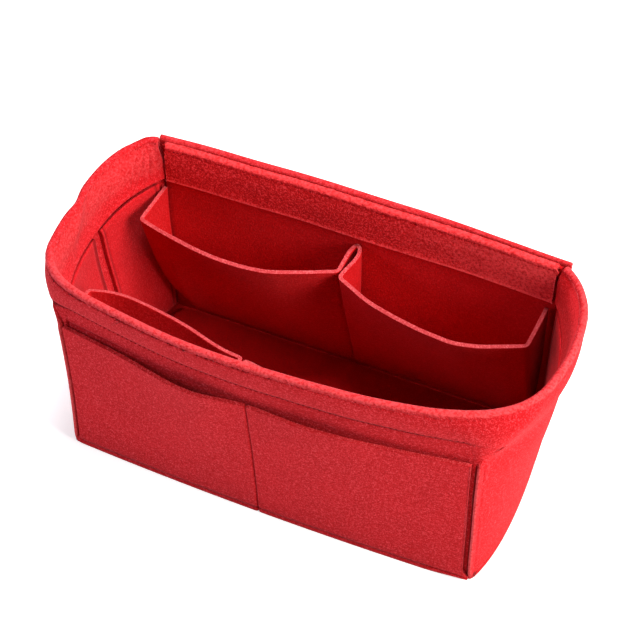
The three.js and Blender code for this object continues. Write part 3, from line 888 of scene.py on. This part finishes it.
def strip_half(face, bulge):
    face = np.array(face, float)
    half, gusset, pleat = face[0, 0], face[0, 1], face[-1, 1]
    face_x = np.linspace(half, NECK, 60)[:, None]
    face_d = np.interp(-face_x, -face[:, 0], face[:, 1])
    soften(face_d, 6)
    corner = [[half, SEWN], [half, gusset * 0.5]]
    widest = SEWN + (pleat - SEWN) * 0.32
    neck = np.linspace(0, 1, 13)[1:, None]
    leg = np.concatenate([NECK + (bulge - NECK) * smooth(0, 1, neck), pleat + (widest - pleat) * neck], axis=1)
    turn_in = np.linspace(0, math.pi / 2, 11)[1:, None]
    loop = np.concatenate([bulge * np.cos(turn_in), widest + (SEWN - widest) * np.sin(turn_in)], axis=1)
    dense = evenly(np.concatenate([corner, np.concatenate([face_x, face_d], axis=1), leg, loop]), 191)[1]
    soften(dense, 5)
    return dense


back_left = strip_half([
    (145.5, 38.5), (126, 45), (102, 51), (81, 53.9), (62, 54), (45, 51.5), (23, 42), (NECK, 31)], 2.4)
back_right = strip_half([
    (141, 40.6), (113, 55.5), (95, 60.7), (72, 58.7), (49, 54.4), (28, 48.8), (16, 43), (NECK, 36)], 4.8)
front_left = strip_half([
    (145, 29.7), (128, 36.7), (111, 39.6), (92, 39.9), (72, 39.1), (52, 37.1), (32, 33.3), (17, 30.7),
    (NECK, 29.6)], 3.0)
front_right = strip_half([
    (145, 21), (120, 23.5), (80, 23.5), (40, 24), (16, 25.8), (6, 28), (NECK, 28.6)], 3.0)
print("the back strip stands", back_right[:, 1].max().round(1), "mm from its wall at most")

# %% [markdown]
# The strip itself is that path, scaled down with the height: it shrinks towards the foot, where it is sewn
# flat to the wall. The gussets stay full a little longer than the rest and end a little higher.
# When a pocket opens, the face turns about the foot, and the gussets and the pleat bend between wall and
# face. The strips take the inside felt with little speckle, as painted shade, and the back pocket's right
# gusset is painted darker still, as the deep shade between it and the right wall.

# %% Pleated pockets
STRIP_FOOT, STRIP_TOP = 9.0, 121.0
BEND_FROM = 120
LAYERS = 80
PARTS = ("left_face", "right_face", "left_gusset", "right_gusset", "centre_pleat")
strip_rise = np.array([
    0.015, 0.03, 0.06, 0.1, 0.15, 0.22, 0.3, 0.39, 0.48, 0.57, 0.66, 0.74, 0.81, 0.87, 0.92, 0.96, 0.985, 1.0])


def pleated_strip(name, body, left, right, wall_inside, away, pleat_x, leans, painted_gusset_shade=0.0):
    half = left[0, 0]
    path = np.concatenate([left * [-1, 1], right[::-1][1:]])
    shifted = path[:, 0] + pleat_x * (1 - np.abs(path[:, 0]) / half)
    x, rise = np.meshgrid(shifted, strip_rise)
    foot = STRIP_FOOT + 12 * smooth(0.86, 1.0, np.abs(x) / half)
    z = foot + (STRIP_TOP - foot) * rise
    drawn_in = BEND_FROM + (np.abs(x) - BEND_FROM) * (1 - 0.24 * (1 - rise) ** 2)
    x = np.where(np.abs(x) > BEND_FROM, np.sign(x) * drawn_in, x)
    full = 1 - 0.28 * smooth(0.72, 0.98, np.abs(x) / half)
    stand = SEWN + (path[:, 1] - SEWN) * rise ** full
    net = np.stack([x, wall_inside(x, z) + away * stand, z], axis=-1)
    # Painted shade on the right gusset, and below the inside felt with little speckle, as painted shade.
    press_and_painted_light = painted_gusset_shade * smooth(0.97, 0.997, path[:, 0] / right[0, 0])
    strip = felt_sheet(name, net, press_and_painted_light, nap_and_shade=0.4, face=shaded_inside_felt)
    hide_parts(*(f"{body}_{part}" for part in PARTS))
    at_wall, at_face = (float(wall_inside(0.0, STRIP_TOP) + away * d) * MM for d in leans)
    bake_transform(strip)
    length = lengths(path)[-1]
    float(length + 2 * half) / 2 * MM * 0.118
    print(name, "is", round(float(length)), "mm long at its top edge")


def back_inside(x, z):
    return back_face(x, z) - FELT


inside_s = np.linspace(1.0, 4.0, 900)
inside_z = np.linspace(0, HEIGHT, LAYERS + 1)
inside_x, inside_y = (np.array([wall(inside_s, h, FELT)[0][:, k] for h in inside_z]) for k in (0, 1))


def front_inside(x, z):
    x, z = np.broadcast_arrays(np.asarray(x, float), np.asarray(z, float))
    layer = np.clip(z / HEIGHT * LAYERS, 0, LAYERS - 0.001)
    lower = layer.astype(int)
    flat = []
    for value, row, share in zip(x.ravel(), lower.ravel(), (layer - lower).ravel()):
        below = np.interp(value, inside_x[row], inside_y[row])
        above = np.interp(value, inside_x[row + 1], inside_y[row + 1])
        flat.append(below + (above - below) * share)
    return np.array(flat).reshape(x.shape)


pleated_strip("back_pocket_felt", "back_pocket", back_left, back_right, back_inside, -1, 1.5,
              leans=(3.0, 24.0), painted_gusset_shade=0.6)
pleated_strip("front_pocket_felt", "front_pocket", front_left, front_right, front_inside, 1, -22,
              leans=(15.0, 36.0))

# %% [markdown]
# Flat slip pockets line the two sides, a rear and a front one on each, with a strip of bare wall between
# them. Each follows the side wall and stands open a little at its top edge, just under the hem. The wall
# gives a place for each s, but a pocket is known by its y, so s is looked up in a few rounds. The rear edge
# of a front pocket lies in deep shade, which is painted into the felt's tone. The pockets on the right lie in
# shade and take the inside felt, as painted shade.

# %% Side pockets
POCKET_FOOT = 8


def side_pocket(name, side, from_y, to_y, opening, shaded):
    levels = np.concatenate([np.linspace(0, 0.8, 12), np.linspace(0.84, 1, 8)])
    y_columns = np.linspace(from_y, to_y, 45)
    net = np.empty((len(levels), len(y_columns), 3))
    s = np.linspace(0, 1.2, 300) if side < 0 else np.linspace(5, 3.8, 300)
    across = (y_columns - from_y) / (to_y - from_y)
    edge = bell(np.minimum(across, 1 - across) * (to_y - from_y), 3, 1.2)
    shade = bell((1 - across) * (to_y - from_y), 0, 2.4) * shaded
    for row, rise in enumerate(levels):
        found = np.full(len(y_columns), 0.5 if side < 0 else 4.5)
        for _ in range(3):
            z = POCKET_FOOT + (hem_foot(found) - 2.5 - POCKET_FOOT) * rise
            line = wall(s, float(z.mean()), FELT)[0]
            found = np.interp(-y_columns, -line[:, 1], s)
        open_by = opening * np.sin(math.pi * across) ** 1.2 * rise ** 2
        net[row] = wall(found, z, FELT + SEWN + open_by - 0.4 * edge)[0]
    # On the right the pockets take the inside felt with little speckle, as painted shade.
    pocket = felt_sheet(f"{name}_felt", net, np.maximum(edge * 0.8, shade), nap_and_shade=0.35, edge=red_felt,
                        face=red_felt if side < 0 else shaded_inside_felt)
    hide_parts(name)
    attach(pocket, "root")


for side, word in ((-1, "left"), (1, "right")):
    side_pocket(f"{word}_rear_side_pocket", side, 11, 67, 0.7, shaded=0)
    side_pocket(f"{word}_front_side_pocket", side, -55, 1, 1.0, shaded=1)

# %% [markdown]
# Stitches. Each row is one mesh of small rounded lozenges, laid along a line on the felt and sunk by half.
# A lozenge is an icosphere squeezed to the thread's shape, with only twenty faces, because there are many.

# %% Stitches
STITCH_HALF, STITCH_WIDTH, STITCH_HEIGHT, STITCH_SINK = 1.0, 0.4, 0.32, 0.2
NEARBY = 0.8


def stitch_row(name, line, out):
    walked = lengths(line)
    count = max(1, round(walked[-1] / STITCH))
    bm = bmesh.new()
    for where in (np.arange(count) + 0.5) * walked[-1] / count:
        spot, normal, before, after = (
            Vector([float(np.interp(max(0, min(walked[-1], w)), walked, field[:, k])) for k in range(3)])
            for w, field in ((where, line), (where, out), (where - NEARBY, line), (where + NEARBY, line)))
        along = (after - before).normalized()
        normal = (normal - along * normal.dot(along)).normalized()
        beside = normal.cross(along)
        shape = Matrix((along * STITCH_HALF, beside * STITCH_WIDTH, normal * STITCH_HEIGHT))
        shape = shape.transposed().to_4x4()
        shape.translation = spot - normal * STITCH_SINK
        bmesh.ops.create_icosphere(bm, subdivisions=1, radius=1.0, matrix=Matrix.Scale(MM, 4) @ shape)
    row = finished(name, bm, thread)
    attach(row, "root")
    print(name, count, "stitches")


def on_wall(s, z, depth):
    points, inward = wall(s, z, depth)
    return settle(points), np.concatenate([-inward, np.zeros((len(inward), 1))], axis=1)


long_s = np.interp(np.linspace(0, rim_length[-1], 1500), rim_length, fine_s)
stitch_row("rim_stitches_outside", *on_wall(long_s, TOP_STITCH, 0.35))
front_s = long_s[(long_s > 1.2) & (long_s < 3.0)]
stitch_row("hem_stitches_outside", *on_wall(front_s, hem_foot(front_s) + HEM_LIFT, 0.45))

long_x = np.linspace(-HEM_HALF + 2, HEM_HALF - 2, 600)
line = np.stack([long_x, back_face(long_x, TOP_STITCH) - 5.6, np.full(600, TOP_STITCH)], axis=-1)
stitch_row("back_rim_stitches", settle(line), np.tile([0.0, -1.0, 0.0], (600, 1)))

panel_face = -(FELT + SEAM)
along_floor = np.linspace(0.01, 0.99, 900)
stitch_row("front_floor_stitches", *on_wall(2 + along_floor, FLOOR_STITCH, panel_face + 1.1))
up = np.linspace(4, FRONT_LIP - 1, 300)
stitch_row("front_middle_stitches", *on_wall(np.full(300, 2 + MIDDLE), up, panel_face + 1.5))

# %% [markdown]
# The organizer stands on white paper. A plain white floor would turn grey wherever less light falls on it.
# So the paper takes the object's shadow as a diffuse surface, and to the camera it also glows a little:
# the open paper reads as white and only the shadow shows. The world behind it is white to the camera too,
# and nearly black as a light.

# %% Floor
GLOW_NEAR, GLOW_FAR = (0.58, 0.58, 0.58, 1), (1.03, 1.03, 1.03, 1)
PAPER_LEVEL = -0.0004
SKY_LIGHT = 0.05


def seen_directly(start):
    rays = [start.node("ShaderNodeLightPath", {}, {}, ray) for ray in (
        "Is Camera Ray", "Is Glossy Ray", "Is Transmission Ray")]
    return rays[0] + rays[1] + rays[2]


paper = bpy.data.materials.new("paper")
paper.use_nodes = True
tree = paper.node_tree
tree.nodes.remove(tree.nodes["Principled BSDF"])
start = Dye(tree)
place = start.node("ShaderNodeTexCoord", {}, {}, "Object")
far = start.node("ShaderNodeVectorMath", {"operation": "LENGTH"}, {0: place}, "Value").between(0.5, 1.6)
glow = start.node("ShaderNodeEmission", {}, {
    "Color": far.blend(GLOW_NEAR, GLOW_FAR), "Strength": seen_directly(start)})
matte = start.node("ShaderNodeBsdfDiffuse", {}, {"Color": (0.82, 0.82, 0.82, 1)})
both = start.node("ShaderNodeAddShader", {}, {0: glow, 1: matte})
tree.links.new(both.socket, tree.nodes["Material Output"].inputs["Surface"])

bm = bmesh.new()
bmesh.ops.create_grid(bm, x_segments=1, y_segments=1, size=6.0)
floor_sheet = finished("paper", bm, paper)
floor_sheet.location.z = PAPER_LEVEL

world = bpy.data.worlds.new("studio")
bpy.context.scene.world = world
world.use_nodes = True
background = world.node_tree.nodes["Background"]
background.inputs["Color"].default_value = (1, 1, 1, 1)
open_sky = seen_directly(Dye(world.node_tree)) * (1 - SKY_LIGHT) + SKY_LIGHT
world.node_tree.links.new(open_sky.socket, background.inputs["Strength"])
print("paper", [round(side, 1) for side in floor_sheet.dimensions], "m")

# %% [markdown]
# Soft studio light from four round lamps. A broad one overhead lights the rims and the lips from above. The
# key lamp stands on the right with a low one beside it, because the right wall and the left wall's inside are
# the brightest. A weak, cooler fill on the left keeps the front from going dark.

# %% Light
LAMP_AIM = Vector((0, 0, 0.1))
WARM, COOL = (1, 1, 0.92), (1, 1.06, 1.28)


def lamp(name, place, size, power, colour=(1, 1, 1)):
    light = bpy.data.lights.new(name, "AREA")
    light.shape = "DISK"
    light.size = size
    light.energy = power
    light.color = colour
    holder = bpy.data.objects.new(name, light)
    holder.location = place
    holder.rotation_euler = (Vector(place) - LAMP_AIM).to_track_quat("Z", "Y").to_euler()
    bpy.context.collection.objects.link(holder)


lamp("overhead", (0.0, 0.2, 1.4), 0.6, 21.5)
lamp("key", (1.5, -0.2, 0.95), 0.8, 37.5, WARM)
lamp("side", (1.5, 0.25, 0.27), 0.5, 7.0, WARM)
lamp("fill", (-0.8, -0.5, 0.4), 0.5, 3.2, COOL)
bpy.context.scene.view_settings.view_transform = "Standard"
